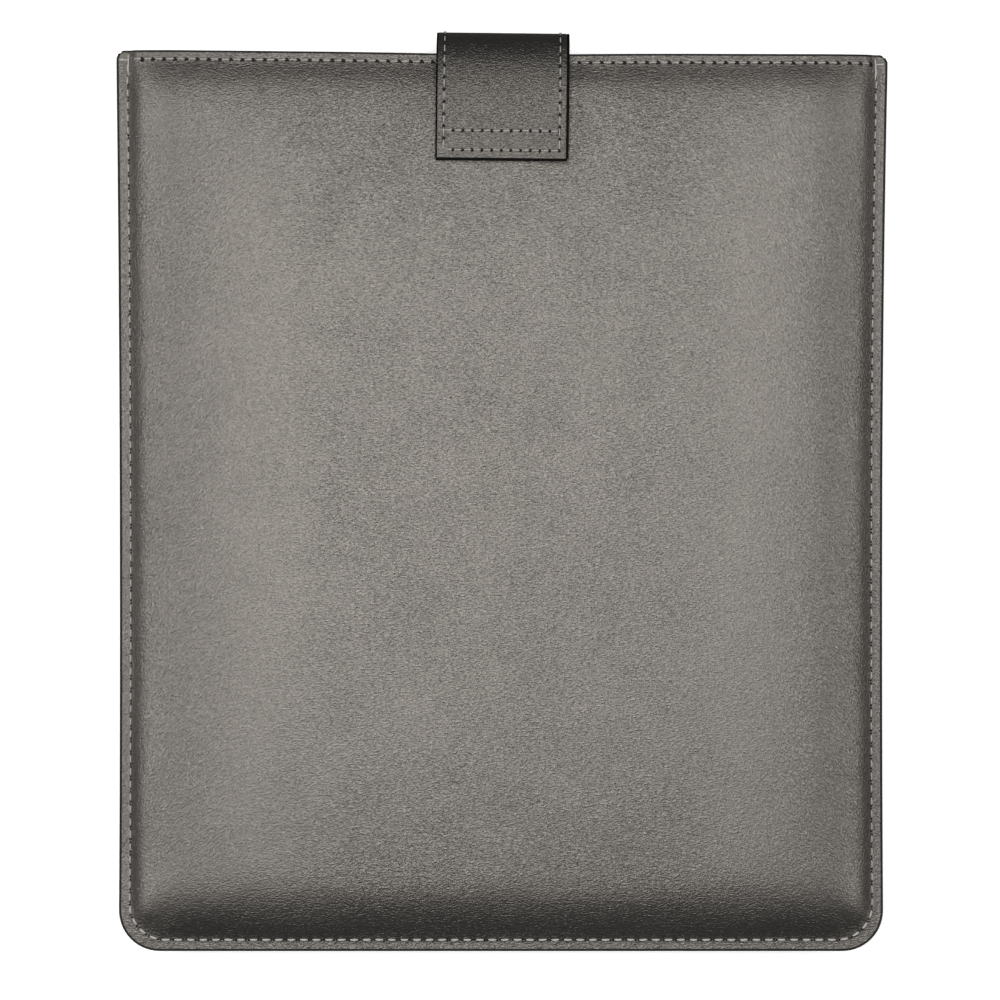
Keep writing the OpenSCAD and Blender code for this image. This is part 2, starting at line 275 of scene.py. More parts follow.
def make_grain(tree, given, out):
    place = node(tree, "ShaderNodeTexCoord").outputs["Object"]
    where = node(tree, "ShaderNodeSeparateXYZ", {0: place})
    sideways = math_node(tree, "ABSOLUTE", where.outputs["X"])
    endways = math_node(tree, "ABSOLUTE", where.outputs["Y"])
    by_side = math_node(
        tree, "MULTIPLY", ramp(tree, sideways, 0.045, 0.1),
        math_node(tree, "SUBTRACT", 1.0, ramp(tree, endways, 0.1, 0.128)),
    )
    left_or_right = ramp(tree, where.outputs["X"], -0.02, 0.02)
    level = ripples(tree, place, given, 0)
    slanted = mixed(tree, left_or_right, ripples(tree, place, given, -52), ripples(tree, place, given, 52))
    wrinkles = mixed(tree, by_side, level, slanted)
    pores = node(tree, "ShaderNodeTexVoronoi", {"Vector": place, "Scale": 1900.0}, feature="F1")
    depth = node(tree, "ShaderNodeTexNoise", {"Vector": place, "Scale": 55.0, "Detail": 2.0})
    at_edges = math_node(
        tree, "MAXIMUM", ramp(tree, sideways, 0.06, 0.108), ramp(tree, endways, 0.06, 0.128)
    )
    patchy = math_node(tree, "ADD", math_node(tree, "MULTIPLY", depth.outputs[0], 0.5), 0.35)
    strength = math_node(tree, "ADD", patchy, math_node(tree, "MULTIPLY", at_edges, 0.45))
    folds = math_node(tree, "MULTIPLY", wrinkles, strength)
    height = math_node(tree, "ADD", folds, math_node(tree, "MULTIPLY", pores.outputs["Distance"], 0.10))
    tree.links.new(height, out["Height"])
    cloud = node(
        tree, "ShaderNodeTexNoise",
        {"Vector": place, "Scale": 18.0, "Detail": 4.0, "Roughness": 0.6},
    )
    fine = math_node(
        tree, "ADD",
        math_node(tree, "MULTIPLY", wrinkles, 0.62),
        math_node(tree, "MULTIPLY", pores.outputs["Distance"], 0.35),
    )
    tone = math_node(
        tree, "ADD", math_node(tree, "MULTIPLY", cloud.outputs[0], 0.10), fine, clamp=True,
    )
    tree.links.new(blend_colours(tree, tone, given["Dark"], given["Light"]), out["Colour"])
    polish = math_node(
        tree, "ADD",
        math_node(tree, "MULTIPLY", math_node(tree, "SUBTRACT", cloud.outputs[0], 0.5), 0.05),
        math_node(tree, "MULTIPLY", math_node(tree, "SUBTRACT", 0.5, wrinkles), 0.18),
    )
    tree.links.new(math_node(tree, "ADD", given["Roughness"], polish, clamp=True), out["Roughness"])


make_grain(grain, grain_in, grain_out)


def leather_material(name, dark, light, rough, bump, distance=0.00026, scale=2200.0, **shader_values):
    """A leather with its own two tones, roughness and depth of grain."""
    material, tree, shader = new_material(name, **shader_values)
    skin = node(tree, "ShaderNodeGroup", node_tree=grain)
    skin.inputs["Ripple Scale"].default_value = scale
    skin.inputs["Dark"].default_value = (*dark, 1)
    skin.inputs["Light"].default_value = (*light, 1)
    skin.inputs["Roughness"].default_value = rough
    raised = node(
        tree, "ShaderNodeBump",
        {"Height": skin.outputs["Height"], "Strength": bump, "Distance": distance},
    )
    tree.links.new(skin.outputs["Colour"], shader.inputs["Base Color"])
    tree.links.new(skin.outputs["Roughness"], shader.inputs["Roughness"])
    tree.links.new(raised.outputs[0], shader.inputs["Normal"])
    return material


outer_leather = leather_material(
    "outer_leather", (0.082, 0.0755, 0.068), (0.232, 0.216, 0.198), 0.43, 1.0, Metallic=0.93
)
# The strap's leather has darker tones than the covers': painted shade, deepening the dark fold where the
# strap turns over the mouth; it darkens the whole strap.
strap_leather_with_fold_shade = leather_material(
    "strap_leather_with_fold_shade", (0.076, 0.0705, 0.064), (0.154, 0.144, 0.132), 0.42, 0.9, Metallic=0.95
)
split_leather = leather_material(
    "split_leather", (0.030, 0.029, 0.027), (0.06, 0.058, 0.055), 0.75, 0.5, scale=1700.0
)

# %% [markdown]
# ## Other finishes
# The thread is a twisted yarn: a diagonal wave on its own UV map gives the plies. Edge paint
# is a satin rubbery coat with small dents. The pocket lining is a brushed cloth, the foam has
# cells, and the metal parts inside have a rolled or plated surface.

# %% Thread, edge paint, cloth, foam and metal
def noisy_material(name, dark, light, scale, rough, bump, distance, texture="ShaderNodeTexNoise", **values):
    """A plain finish: two tones and a height from one texture on Object coordinates."""
    material, tree, shader = new_material(name, Roughness=rough, **values)
    place = node(tree, "ShaderNodeTexCoord").outputs["Object"]
    spots = node(tree, texture, {"Vector": place, "Scale": scale})
    tree.links.new(
        blend_colours(tree, spots.outputs[0], (*dark, 1), (*light, 1)), shader.inputs["Base Color"]
    )
    raised = node(
        tree, "ShaderNodeBump",
        {"Height": spots.outputs[0], "Strength": bump, "Distance": distance},
    )
    tree.links.new(raised.outputs[0], shader.inputs["Normal"])
    return material


def thread_material():
    material, tree, shader = new_material("sewing_thread", Roughness=0.5, Specular_IOR_Level=0.55)
    along = node(tree, "ShaderNodeTexCoord").outputs["UV"]
    slanted = node(tree, "ShaderNodeMapping", {"Vector": along, "Rotation": (0, 0, 0.6)})
    plies = node(tree, "ShaderNodeTexWave", {"Vector": slanted.outputs[0], "Scale": 1.1, "Distortion": 0.4})
    tree.links.new(
        blend_colours(tree, plies.outputs[1], (0.35, 0.34, 0.32, 1), (0.57, 0.555, 0.53, 1)),
        shader.inputs["Base Color"],
    )
    raised = node(tree, "ShaderNodeBump", {"Height": plies.outputs[1], "Strength": 0.6, "Distance": 0.0001})
    tree.links.new(raised.outputs[0], shader.inputs["Normal"])
    return material


thread = thread_material()
edge_paint = noisy_material(
    "edge_paint", (0.010, 0.009, 0.008), (0.016, 0.015, 0.014), 700.0, 0.6, 0.3, 0.0002,
    Specular_IOR_Level=0.25,
)
# The strap's edge beads are near-black edge paint and painted shadow: they run wider than the painted edge,
# most on the right side and across the tab's end, where the tab's shadow falls.
strap_paint_and_shadow = noisy_material(
    "strap_edge_paint_and_shadow", (0.003, 0.003, 0.003), (0.006, 0.006, 0.005), 700.0, 0.8, 0.3, 0.0002,
    Specular_IOR_Level=0.06,
)
# Needle holes: a near-black disc on the leather, painted shade for the shade inside each hole.
needle_hole_shade = noisy_material(
    "needle_hole_shade", (0.002, 0.002, 0.002), (0.007, 0.006, 0.006), 900.0, 0.95, 0.2, 0.0001
)
lining_cloth = noisy_material(
    "lining_cloth", (0.035, 0.035, 0.037), (0.075, 0.075, 0.08), 1400.0, 0.9, 0.5, 0.0002, Sheen_Weight=0.3
)
foam = noisy_material(
    "pad_foam", (0.45, 0.45, 0.43), (0.72, 0.72, 0.69), 900.0, 0.85, 0.6, 0.0003, "ShaderNodeTexVoronoi"
)
plated_metal = noisy_material(
    "plated_metal", (0.45, 0.45, 0.46), (0.62, 0.62, 0.63), 300.0, 0.3, 0.1, 0.0001, Metallic=1.0
)
floor_sheet, floor_tree, floor_shader = new_material("floor_sheet", Roughness=0.9, Specular_IOR_Level=0.0)
seen_share = node(floor_tree, "ShaderNodeLightPath").outputs["Is Camera Ray"]
paper = node(floor_tree, "ShaderNodeTexNoise", {"Scale": 40.0}).outputs[0]
fibre = blend_colours(floor_tree, paper, (0.9, 0.9, 0.9, 1), (0.94, 0.94, 0.94, 1))
floor_tree.links.new(
    blend_colours(floor_tree, seen_share, (0.14, 0.14, 0.14, 1), fibre), floor_shader.inputs["Base Color"]
)
floor_shader.inputs["Emission Color"].default_value = (1, 1, 1, 1)
glow = math_node(floor_tree, "MULTIPLY", seen_share, 0.55)
floor_tree.links.new(glow, floor_shader.inputs["Emission Strength"])
floor.data.materials.append(floor_sheet)
for name in ("tab_magnet", "keeper_plate"):
    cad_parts[name].data.materials.clear()
    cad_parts[name].data.materials.append(plated_metal)

# %% [markdown]
# ## The shape that was cut and sewn
# Hand work isn't quite square: the sides draw in a little at the middle, and the mouth runs
# off by a millimetre. One function holds that, and every piece of the case goes through it,
# so they all still meet.

# %% The sewn outline
def as_sewn(x, y):
    """Moves a point of the square pattern to where it lies in the sewn sleeve."""
    along = y / mouth_y
    draw = (-0.55 + 0.36 * along + 0.67 * along * along) * MM
    if x > 0:
        draw += 0.6 * MM * max(0.0, along) ** 2
    lean = (-0.7 * x / half_w - 0.1) * MM * max(0.0, (along + 1) / 2) ** 2
    lean -= 0.4 * MM * max(0.0, along) ** 4 * (1 - min(1.0, abs(x / half_w)) ** 6)
    lean -= 0.55 * MM * max(0.0, along) ** 8 * math.exp(-((x / (34 * MM)) ** 2))
    return x * (1 + draw / half_w), y + lean


def round_corner(a, b, block, radius):
    """Turns square rings into rings with a round corner. a and b start at the inner corner."""
    ring = max(a, b)
    r = radius * ring / block
    straight = ring - r
    run = min(a, b) / ring * (straight + math.pi * r / 4)
    if run <= straight:
        p, q = ring, run
    else:
        turn = (run - straight) / r
        p, q = straight + r * math.cos(turn), straight + r * math.sin(turn)
    return (p, q) if a >= b else (q, p)


def pattern_point(x, y):
    """(x, y) on the sewn outline and the distance from the side or bottom edge."""
    block, radius = (26 * MM, 11.8 * MM) if y < 0 else (8 * MM, 2.3 * MM)
    a, b = abs(x) - (half_w - block), abs(y) - (mouth_y - block)
    inset = min(half_w - abs(x), y + mouth_y)
    if a > 0 and b > 0:
        p, q = round_corner(a, b, block, radius)
        x = math.copysign(half_w - block + p, x)
        y = math.copysign(mouth_y - block + q, y)
    return as_sewn(x, y), inset


def puff(inset, slope):
    """Share of the padding's height at a distance from the edge."""
    u = min(1.0, max(0.0, (inset - band) / slope))
    return 1 - (1 - u) ** 2


def panel_share(x, y):
    """The lower of the side slope's and the bottom slope's share, so they meet in a mitre."""
    return min(puff(half_w - abs(x), side_slope), puff(y + mouth_y, end_slope))


# The leather turns up sharply at the side seam, which takes fold_share of its rise.
fold_share, fold_length = 0.32, 0.8 * MM
side_ease, end_ease = 2.7, 4.4


def cover_share(x, y):
    """The cover's share of the height. It climbs as steeply, then levels off over a longer way."""
    side = min(1.0, max(0.0, (half_w - abs(x) - band) / (1.7 * side_slope)))
    end = min(1.0, max(0.0, (y + mouth_y - band) / (2.0 * end_slope)))
    fold = 1 - math.exp(-max(0.0, half_w - abs(x) - band) / fold_length)
    from_side = fold_share * fold + (1 - fold_share) * (1 - (1 - side) ** side_ease)
    from_end = 1 - (1 - end) ** end_ease
    near = 0.05
    mix = min(1.0, max(0.0, 0.5 + 0.5 * (from_end - from_side) / near))
    return from_end * (1 - mix) + from_side * mix - near * mix * (1 - mix)


def mouth_dip(from_mouth):
    """Share by which the padding is drawn down to the stitched lip."""
    v = min(1.0, max(0.0, (from_mouth - lip) / mouth_slope))
    return (1 - v) ** 2


# %% Grid lines, close together at the seams and wide apart in the middle
def lines_from_edge(length, first, widest):
    """Distances from an edge to the middle, each step a little longer than the last."""
    places, step = [0.0], first
    while places[-1] < length:
        places.append(places[-1] + step)
        step = min(step * 1.13, widest)
    return [p * length / places[-1] for p in places]


side_lines = lines_from_edge(half_w, 0.8 * MM, 3.0 * MM)
end_lines = lines_from_edge(mouth_y, 0.8 * MM, 3.0 * MM)
grid_x = [p - half_w for p in side_lines] + [half_w - p for p in reversed(side_lines[:-1])]
grid_y = [p - mouth_y for p in end_lines] + [mouth_y - p for p in reversed(end_lines[:-1])]
columns, rows = len(grid_x), len(grid_y)
print("panel grid", columns, "by", rows)


def grid_sheet(name, place, i_range=None, j_range=None):
    """A grid whose points are put in place by place(i, j), over part of the panel's lines."""
    i0, i1 = i_range or (0, columns - 1)
    j0, j1 = j_range or (0, rows - 1)
    nx, ny = i1 - i0, j1 - j0
    bpy.ops.object.select_all(action="DESELECT")
    bpy.ops.mesh.primitive_grid_add(x_subdivisions=nx, y_subdivisions=ny, size=2)
    sheet = bpy.context.object
    sheet.name = name
    sheet["i0"], sheet["j0"] = i0, j0
    for v in sheet.data.vertices:
        i = i0 + round((v.co.x + 1) / 2 * nx)
        j = j0 + round((v.co.y + 1) / 2 * ny)
        v.co = place(i, j)
    return sheet


# %% [markdown]
# ## The two padded covers
# A cover is one skin of leather over foam, held down along the seam and the lip. Its rise from
# the seam to the flat middle is a drawn profile, which sets nearly all of the shape. A short
# cloth simulation, with the seam band and the lip pinned and air pressure under the rest,
# doesn't come to rest in twenty steps and by itself domes about 3 mm above the flat face. So
# only two fifths of its movement is kept, and never more than 0.3 mm, to loosen the drawn
# surface slightly. The flat foam is then a soft roof that no point passes.

# %% Start heights of a cover, above the middle plane
strap_bump = 21.5 * MM


def cover_height(x, y, rear):
    dip = 3.0 * MM * mouth_dip(mouth_y - y)
    if rear:
        beside = min(1.0, max(0.0, (abs(x) - strap_bump) / (6 * MM)))
        dip *= 0.35 + 0.65 * beside * beside * (3 - 2 * beside)
    return seam_top - middle + max(0.0, cover_share(x, y)) * (rise - dip)


def cover_place(rear):
    def place(i, j):
        x, y = grid_x[i], grid_y[j]
        return Vector((*pattern_point(x, y)[0], middle + cover_height(x, y, rear)))
    return place


def under_roof(z, x, y):
    """Rests the middle of a cover on its flat foam, lower under the tab and hardly crowned."""
    crown = 0.55 * MM * (1 - abs(y / mouth_y) ** 3) * (1 - abs(x / half_w) ** 4)
    near_tab = min(1.0, max(0.0, (y - 70 * MM) / (22 * MM))) * (1 if abs(x) < 30 * MM else 0.5)
    roof = case_h + crown * (1 - near_tab)
    soft = 1.2 * MM
    over = z - (roof - soft)
    return z if over <= 0 else roof - soft * math.exp(-over / soft)


# %% A drawn cover, loosened by cloth
def puffed_cover(name, rear):
    sheet = grid_sheet(name, cover_place(rear))
    before = [v.co.copy() for v in sheet.data.vertices]
    stitched = sheet.vertex_groups.new(name="stitched")
    held = [
        v.index for v in sheet.data.vertices
        if pattern_point(grid_x[v.index % columns], grid_y[v.index // columns])[1] < band
        or mouth_y - grid_y[v.index // columns] < lip
    ]
    stitched.add(held, 1.0, "REPLACE")
    cloth = sheet.modifiers.new("Cloth", "CLOTH")
    settings = cloth.settings
    settings.quality = 7
    settings.mass = 0.4
    settings.tension_stiffness = 30
    settings.compression_stiffness = 30
    settings.bending_stiffness = 1.2
    settings.vertex_group_mass = "stitched"
    settings.use_pressure = True
    settings.uniform_pressure_force = 0.35
    settings.shrink_min = -0.004
    settings.effector_weights.gravity = 0
    cloth.collision_settings.use_collision = False
    cloth.point_cache.frame_start = 1
    cloth.point_cache.frame_end = 20
    for step in range(1, 21):
        scene.frame_set(step)
    apply(sheet, "Cloth")
    raw_top = max(v.co.z for v in sheet.data.vertices)
    kept_most = 0.0
    for v, start in zip(sheet.data.vertices, before):
        moved = (v.co - start) * 0.4
        kept = moved * min(1.0, 0.3 * MM / max(moved.length, 1e-9))
        kept_most = max(kept_most, kept.length)
        v.co = start + kept
        v.co.z = max(v.co.z, start.z - 0.1 * MM)
        v.co.z = under_roof(v.co.z, v.co.x, v.co.y) if v.co.z > seam_top + 0.5 * MM else v.co.z
        if rear:
            v.co.z = case_h - v.co.z
    print(name, "cloth alone would reach", round(raw_top * 1000, 2), "mm")
    print("most of its movement kept at a point:", round(kept_most * 1000, 2), "mm")
    free = sheet.vertex_groups.new(name="free")
    free.add(sorted(set(range(len(before))) - set(held)), 1.0, "REPLACE")
    eased = sheet.modifiers.new("eased", "SMOOTH")
    eased.factor = 0.5
    eased.iterations = 6
    eased.vertex_group = "free"
    apply(sheet, "eased")
    only(sheet)
    if rear:
        bpy.ops.object.mode_set(mode="EDIT")
        bpy.ops.mesh.select_all(action="SELECT")
        bpy.ops.mesh.flip_normals()
        bpy.ops.object.mode_set(mode="OBJECT")
    finer = sheet.modifiers.new("finer", "SUBSURF")
    finer.levels = finer.render_levels = 1
    apply(sheet, "finer")
    return sheet


def thicken(sheet, thickness):
    """Gives a sheet its thickness, away from the side its normals face."""
    solid = sheet.modifiers.new("thickness", "SOLIDIFY")
    solid.thickness = thickness
    solid.offset = -1
    apply(sheet, "thickness")


front_cover = puffed_cover("front_panel_cover", False)
rear_cover = puffed_cover("rear_panel_cover", True)
for cover, cad_name in ((front_cover, "front_cover"), (rear_cover, "rear_cover")):
    thicken(cover, leather)
    cover.data.materials.append(outer_leather)
    finish_piece(cover, "case", [cad_name])

# %% [markdown]
# ## Lining, facing and foam
# The pocket is lined with brushed cloth that stops short of the mouth, where a strip of the
# outer leather takes over. Each follows the cover at a smaller rise, and the foam fills what
# is left between them. They come from the same pattern, so they share the sewn outline.

# %% The lining and facing of each half
def lining_place(rear, facing):
    def place(i, j):
        x, y = grid_x[i], grid_y[j]
        share = puff(half_w - abs(x), side_slope) if facing else panel_share(x, y)
        z = seam_top - leather + pocket_rise * share
        return Vector((*pattern_point(x, y)[0], case_h - z if rear else z))
    return place


def inner_layer(name, rear, facing, cad_name, finish):
    split = min(range(rows), key=lambda j: abs(grid_y[j] - facing_y))
    j_range = (split, rows - 1) if facing else (0, split)
    sheet = grid_sheet(name, lining_place(rear, facing), None, j_range)
    if rear:
        only(sheet)
        bpy.ops.object.mode_set(mode="EDIT")
        bpy.ops.mesh.select_all(action="SELECT")
        bpy.ops.mesh.flip_normals()
        bpy.ops.object.mode_set(mode="OBJECT")
    thicken(sheet, lining)
    sheet.data.materials.append(finish)
    return finish_piece(sheet, "case", [cad_name])


for half, rear in (("front", False), ("rear", True)):
    inner_layer(half + "_pocket_lining", rear, False, half + "_lining", lining_cloth)
    inner_layer(half + "_mouth_facing", rear, True, half + "_facing", outer_leather)


# %% Finding the surface of a cover
def tree_of(obj):
    return BVHTree.FromPolygons(
        [v.co for v in obj.data.vertices], [tuple(p.vertices) for p in obj.data.polygons]
    )


cover_trees = {1: tree_of(front_cover), -1: tree_of(rear_cover)}


def on_cover(x, y, side):
    """The point of a cover at (x, y), and its outward direction. side is 1 in front, -1 behind."""
    above = Vector((x, y, middle + side * 0.05))
    hit, normal, _, _ = cover_trees[side].ray_cast(above, Vector((0, 0, -side)))
    if hit is None:
        return Vector((x, y, middle + side * (seam_top - middle))), Vector((0, 0, side))
    return hit, normal if normal.z * side > 0 else -normal


# %% The foam of each half
def foam_sheet(name, rear, upper, i_range, j_range):
    def place(i, j):
        x, y = grid_x[i], grid_y[j]
        low = seam_top - leather + pocket_rise * panel_share(x, y)
        px, py = pattern_point(x, y)[0]
        skin, slant = on_cover(px, py, -1 if rear else 1)
        under = (case_h - skin.z if rear else skin.z) - 1.15 * leather / max(0.4, abs(slant.z))
        z = max(low + 0.02 * MM, under) if upper else low
        return Vector((px, py, case_h - z if rear else z))
    return grid_sheet(name, place, i_range, j_range)


def foam_pad(name, rear, cad_name):
    side = next(i for i in range(columns) if grid_x[i] + half_w > 5.2 * MM)
    end = next(j for j in range(rows) if grid_y[j] + mouth_y > 5.4 * MM)
    top = max(j for j in range(rows) if grid_y[j] < mouth_y - (11 if rear else 4.5) * MM)
    upper = foam_sheet(name, rear, True, (side, columns - 1 - side), (end, top))
    lower = foam_sheet(name + "_lower", rear, False, (side, columns - 1 - side), (end, top))
    only(upper)
    lower.select_set(True)
    bpy.ops.object.join()
    bpy.ops.object.mode_set(mode="EDIT")
    bpy.ops.mesh.select_mode(type="EDGE")
    bpy.ops.mesh.select_all(action="DESELECT")
    bpy.ops.mesh.select_non_manifold()
    bpy.ops.mesh.bridge_edge_loops()
    bpy.ops.mesh.select_all(action="SELECT")
    bpy.ops.mesh.normals_make_consistent(inside=False)
    bpy.ops.object.mode_set(mode="OBJECT")
    upper.data.materials.append(foam)
    return finish_piece(upper, "case", [cad_name])


foam_pad("front_panel_foam", False, "front_foam")
foam_pad("rear_panel_foam", True, "rear_foam")

# %% [markdown]
# ## Painted edges
# The raw edges of the leather are rubbed round and painted. The paint is a closed bead that
# follows the outline, so it is one small section carried along a line of points. The same
# helper later carries the strap's layers along the strap.

# %% A closed strip carried along rings of points
def carried(name, rings):
    """A closed skin through rings of points, with both ends filled."""
    around, along = len(rings[0]), len(rings)
    bpy.ops.object.select_all(action="DESELECT")
    bpy.ops.mesh.primitive_grid_add(x_subdivisions=around, y_subdivisions=along - 1, size=2)
    strip = bpy.context.object
    strip.name = name
    for v in strip.data.vertices:
        v.co = rings[v.index // (around + 1)][v.index % (around + 1) % around]
    bpy.ops.object.mode_set(mode="EDIT")
    bpy.ops.mesh.select_all(action="SELECT")
    bpy.ops.mesh.remove_doubles(threshold=0.000001)
    bpy.ops.mesh.fill_holes(sides=0)
    bpy.ops.mesh.select_all(action="SELECT")
    bpy.ops.mesh.normals_make_consistent(inside=False)
    bpy.ops.object.mode_set(mode="OBJECT")
    return strip


def joined(name, parts):
    """Several parts of one piece, put into one object."""
    only(parts[0])
    for part in parts[1:]:
        part.select_set(True)
    if len(parts) > 1:
        bpy.ops.object.join()
    parts[0].name = name
    return parts[0]


# %% The bead round the seam
def outline(inset, step=1.5 * MM):
    """Points of the sewn outline at an inset: down the left side, along the bottom, up the right."""
    side, low, high = half_w - inset, inset - mouth_y, mouth_y
    down = [high - k * step for k in range(int((high - low) / step) + 1)] + [low]
    across = [-side + k * step for k in range(1, int(2 * side / step) + 1)] + [side]
    path = [(-side, y) for y in down] + [(x, low) for x in across] + [(side, y) for y in reversed(down)]
    points = []
    for x, y in path:
        p = Vector(pattern_point(x, y)[0])
        if not points or (p - points[-1]).length > 0.3 * step:
            points.append(p)
    return points


def outward(points, k):
    """Level direction away from the sleeve at point k of an outline."""
    run = points[min(k + 1, len(points) - 1)] - points[max(k - 1, 0)]
    return Vector((run.y, -run.x)).normalized()


BEAD = [
    (-0.42, 0.03), (-0.2, 0.1), (0.06, 0.03), (0.24, -0.3), (0.32, -0.8),
]
edge_line = outline(0.0)
bead_rings = []
for k, p in enumerate(edge_line):
    away = outward(edge_line, k)
    upper = [(out * MM, seam_top + lift * MM) for out, lift in BEAD]
    lower = [(out, case_h - z) for out, z in reversed(upper)]
    bead_rings.append([Vector((p.x + away.x * out, p.y + away.y * out, z)) for out, z in upper + lower])
seam_edge = carried("seam_edge", bead_rings)
seam_edge.data.materials.append(edge_paint)
finish_piece(seam_edge, "case", ["seam_edge_paint"])


# %% The painted lips of the mouth
def lip_edge(name, rear, cad_name):
    rings = []
    for x in grid_x[1:-1]:
        px, py = pattern_point(x, mouth_y)[0]
        top = middle + cover_height(x, mouth_y, rear)
        bottom = seam_top - leather - lining + pocket_rise * puff(half_w - abs(x), side_slope)
        if rear and abs(x) < strap_bump:
            # Only the cover's own cut edge is painted here, because the strap comes out above it.
            bottom = top - leather
        section = [
            (-0.3, top + 0.06 * MM), (0.02, top + 0.05 * MM), (0.22, top - 0.2 * MM),
            (0.3, top - 0.5 * MM), (0.3, bottom + 0.3 * MM), (0.2, bottom), (-0.3, bottom - 0.03 * MM),
        ]
        rings.append([Vector((px, py + out * MM, case_h - z if rear else z)) for out, z in section])
    lip_piece = carried(name, rings)
    lip_piece.data.materials.append(edge_paint)
    return finish_piece(lip_piece, "case", [cad_name])


lip_edge("front_mouth_edge", False, "front_mouth_edge_paint")
lip_edge("rear_mouth_edge", True, "rear_mouth_edge_paint")

# %% [markdown]
# ## The stitches
# Every seam is sewn with the same waxed thread, so one stitch is modelled and copied. It is
# a short eight-sided rod that bows up in the middle and dives into its needle holes at the
# ends. Each needle hole is a small dark cup with a rim, set on the leather under each end: its
# dark colour is painted shade, for the shade inside the hole.

# %% One stitch and one needle hole
bpy.ops.object.select_all(action="DESELECT")
bpy.ops.mesh.primitive_cylinder_add(
    vertices=8, radius=0.3 * MM, depth=2.6 * MM, end_fill_type="TRIFAN", rotation=(0, math.pi / 2, 0)
)
stitch = bpy.context.object
bpy.ops.object.transform_apply(location=True, rotation=True, scale=True)
bpy.ops.object.mode_set(mode="EDIT")
bpy.ops.mesh.select_all(action="DESELECT")
bpy.ops.object.mode_set(mode="OBJECT")
for edge in stitch.data.edges:
    ends = [stitch.data.vertices[k].co.x for k in edge.vertices]
    edge.select = abs(ends[0] - ends[1]) > MM
bpy.ops.object.mode_set(mode="EDIT")
bpy.ops.mesh.select_mode(type="EDGE")
bpy.ops.mesh.subdivide(number_cuts=5)
bpy.ops.object.mode_set(mode="OBJECT")
for v in stitch.data.vertices:
    share = min(1.0, abs(v.co.x) / (1.3 * MM))
    slim = 1 - 0.35 * share ** 3
    v.co.y *= slim
    v.co.z = v.co.z * slim + 0.16 * MM - 0.34 * MM * share ** 4
stitch.data.materials.append(thread)
print("stitch faces", len(stitch.data.polygons))

bpy.ops.object.select_all(action="DESELECT")
bpy.ops.mesh.primitive_cylinder_add(vertices=10, radius=MM, depth=0.06 * MM, location=(0, 0, 0.03 * MM))
hole = bpy.context.object
bpy.ops.object.transform_apply(location=True, rotation=True, scale=True)
bpy.ops.object.mode_set(mode="EDIT")
bpy.ops.mesh.select_mode(type="FACE")
bpy.ops.mesh.select_all(action="DESELECT")
bpy.ops.object.mode_set(mode="OBJECT")
for face in hole.data.polygons:
    face.select = face.normal.z > 0.9
bpy.ops.object.mode_set(mode="EDIT")
bpy.ops.mesh.inset(thickness=0.25 * MM)
bpy.ops.transform.translate(value=(0, 0, -0.04 * MM))
bpy.ops.object.mode_set(mode="OBJECT")
hole.data.materials.append(needle_hole_shade)


# %% Copies of a small part, each with its own place
def copies(name, base, spots):
    """One mesh of copies of base. A spot is (place, along, up, (length, width, height) shares)."""
    gathered = bmesh.new()
    for place, along, up, shares in spots:
        up = up.normalized()
        along = (along - up * along.dot(up)).normalized()
        across = up.cross(along)
        turn = Matrix((along, across, up)).transposed().to_4x4()
        turn.translation = place
        one = base.data.copy()
        one.transform(turn @ Matrix.Diagonal((*shares, 1)))
        gathered.from_mesh(one)
        bpy.data.meshes.remove(one)
    mesh = bpy.data.meshes.new(name)
    gathered.to_mesh(mesh)
    gathered.free()
    mesh.materials.append(base.data.materials[0])
    piece = bpy.data.objects.new(name, mesh)
    scene.collection.objects.link(piece)
    return piece


def evenly(points, pitch, margin=0.0):
    """Middles and directions of stitches laid end to end along a line of points."""
    lengths = [0.0]
    for a, b in zip(points, points[1:]):
        lengths.append(lengths[-1] + (b - a).length)
    count = round((lengths[-1] - 2 * margin) / pitch)
    pitch = (lengths[-1] - 2 * margin) / count
    spots, k = [], 0
    for n in range(count):
        at = margin + (n + 0.5) * pitch
        while lengths[k + 1] < at:
            k += 1
        share = (at - lengths[k]) / (lengths[k + 1] - lengths[k])
        spots.append((points[k].lerp(points[k + 1], share), (points[k + 1] - points[k]).normalized()))
    return spots, pitch


# %% The seam round the sides and the bottom
hand = random.Random(7)
seam_pitch, mouth_pitch = 3.7 * MM, 3.27 * MM


def wobble(amount):
    return hand.uniform(-amount, amount)


def seam_spots(side):
    line = outline(3.1 * MM, 0.6 * MM)
    spots, _ = evenly(line, seam_pitch, 3.0 * MM)
    stitches, holes = [], []
    for p, along in spots:
        place, up = on_cover(p.x, p.y, side)
        level = p.y < -mouth_y + 12 * MM
        direction = Vector((*along, 0))
        direction = (direction + up.cross(direction) * wobble(0.05)).normalized()
        wide = 1.15 if level else 0.72
        stitches.append((place, direction, up, (0.93 + wobble(0.05), wide, 0.95)))
        # Dark discs at both ends of each stitch: painted shade of its needle holes.
        for end in (-1, 1):
            q = place + direction * end * 1.3 * MM
            spot, lift = on_cover(q.x, q.y, side)
            holes.append((spot, direction, lift, (0.42, 0.36, 1.0)))
    return stitches, holes


# %% The lip's stitches
def lip_spots(side):
    stitches, holes = [], []
    reach = half_w - 6 * MM
    count = int(2 * reach / mouth_pitch)
    for n in range(count + 1):
        x = -reach + 2 * reach * n / count
        px, py = pattern_point(x, mouth_y - 2.3 * MM)[0]
        place, up = on_cover(px, py, side)
        direction = Vector((1, -0.008 + wobble(0.05), 0))
        if side == -1 and abs(x) < 1 * MM:
            continue
        stitches.append((place, direction, up, (0.84 + wobble(0.05), 0.66, 0.8)))
        # One larger dark disc beside each lip stitch: painted shade of its needle hole.
        spot, lift = on_cover(px + 1.4 * MM, py - 0.3 * MM, side)
        holes.append((spot, Vector((-0.5, 1, 0)), lift, (0.82 + wobble(0.08), 0.66 + wobble(0.05), 1.0)))
    return stitches, holes


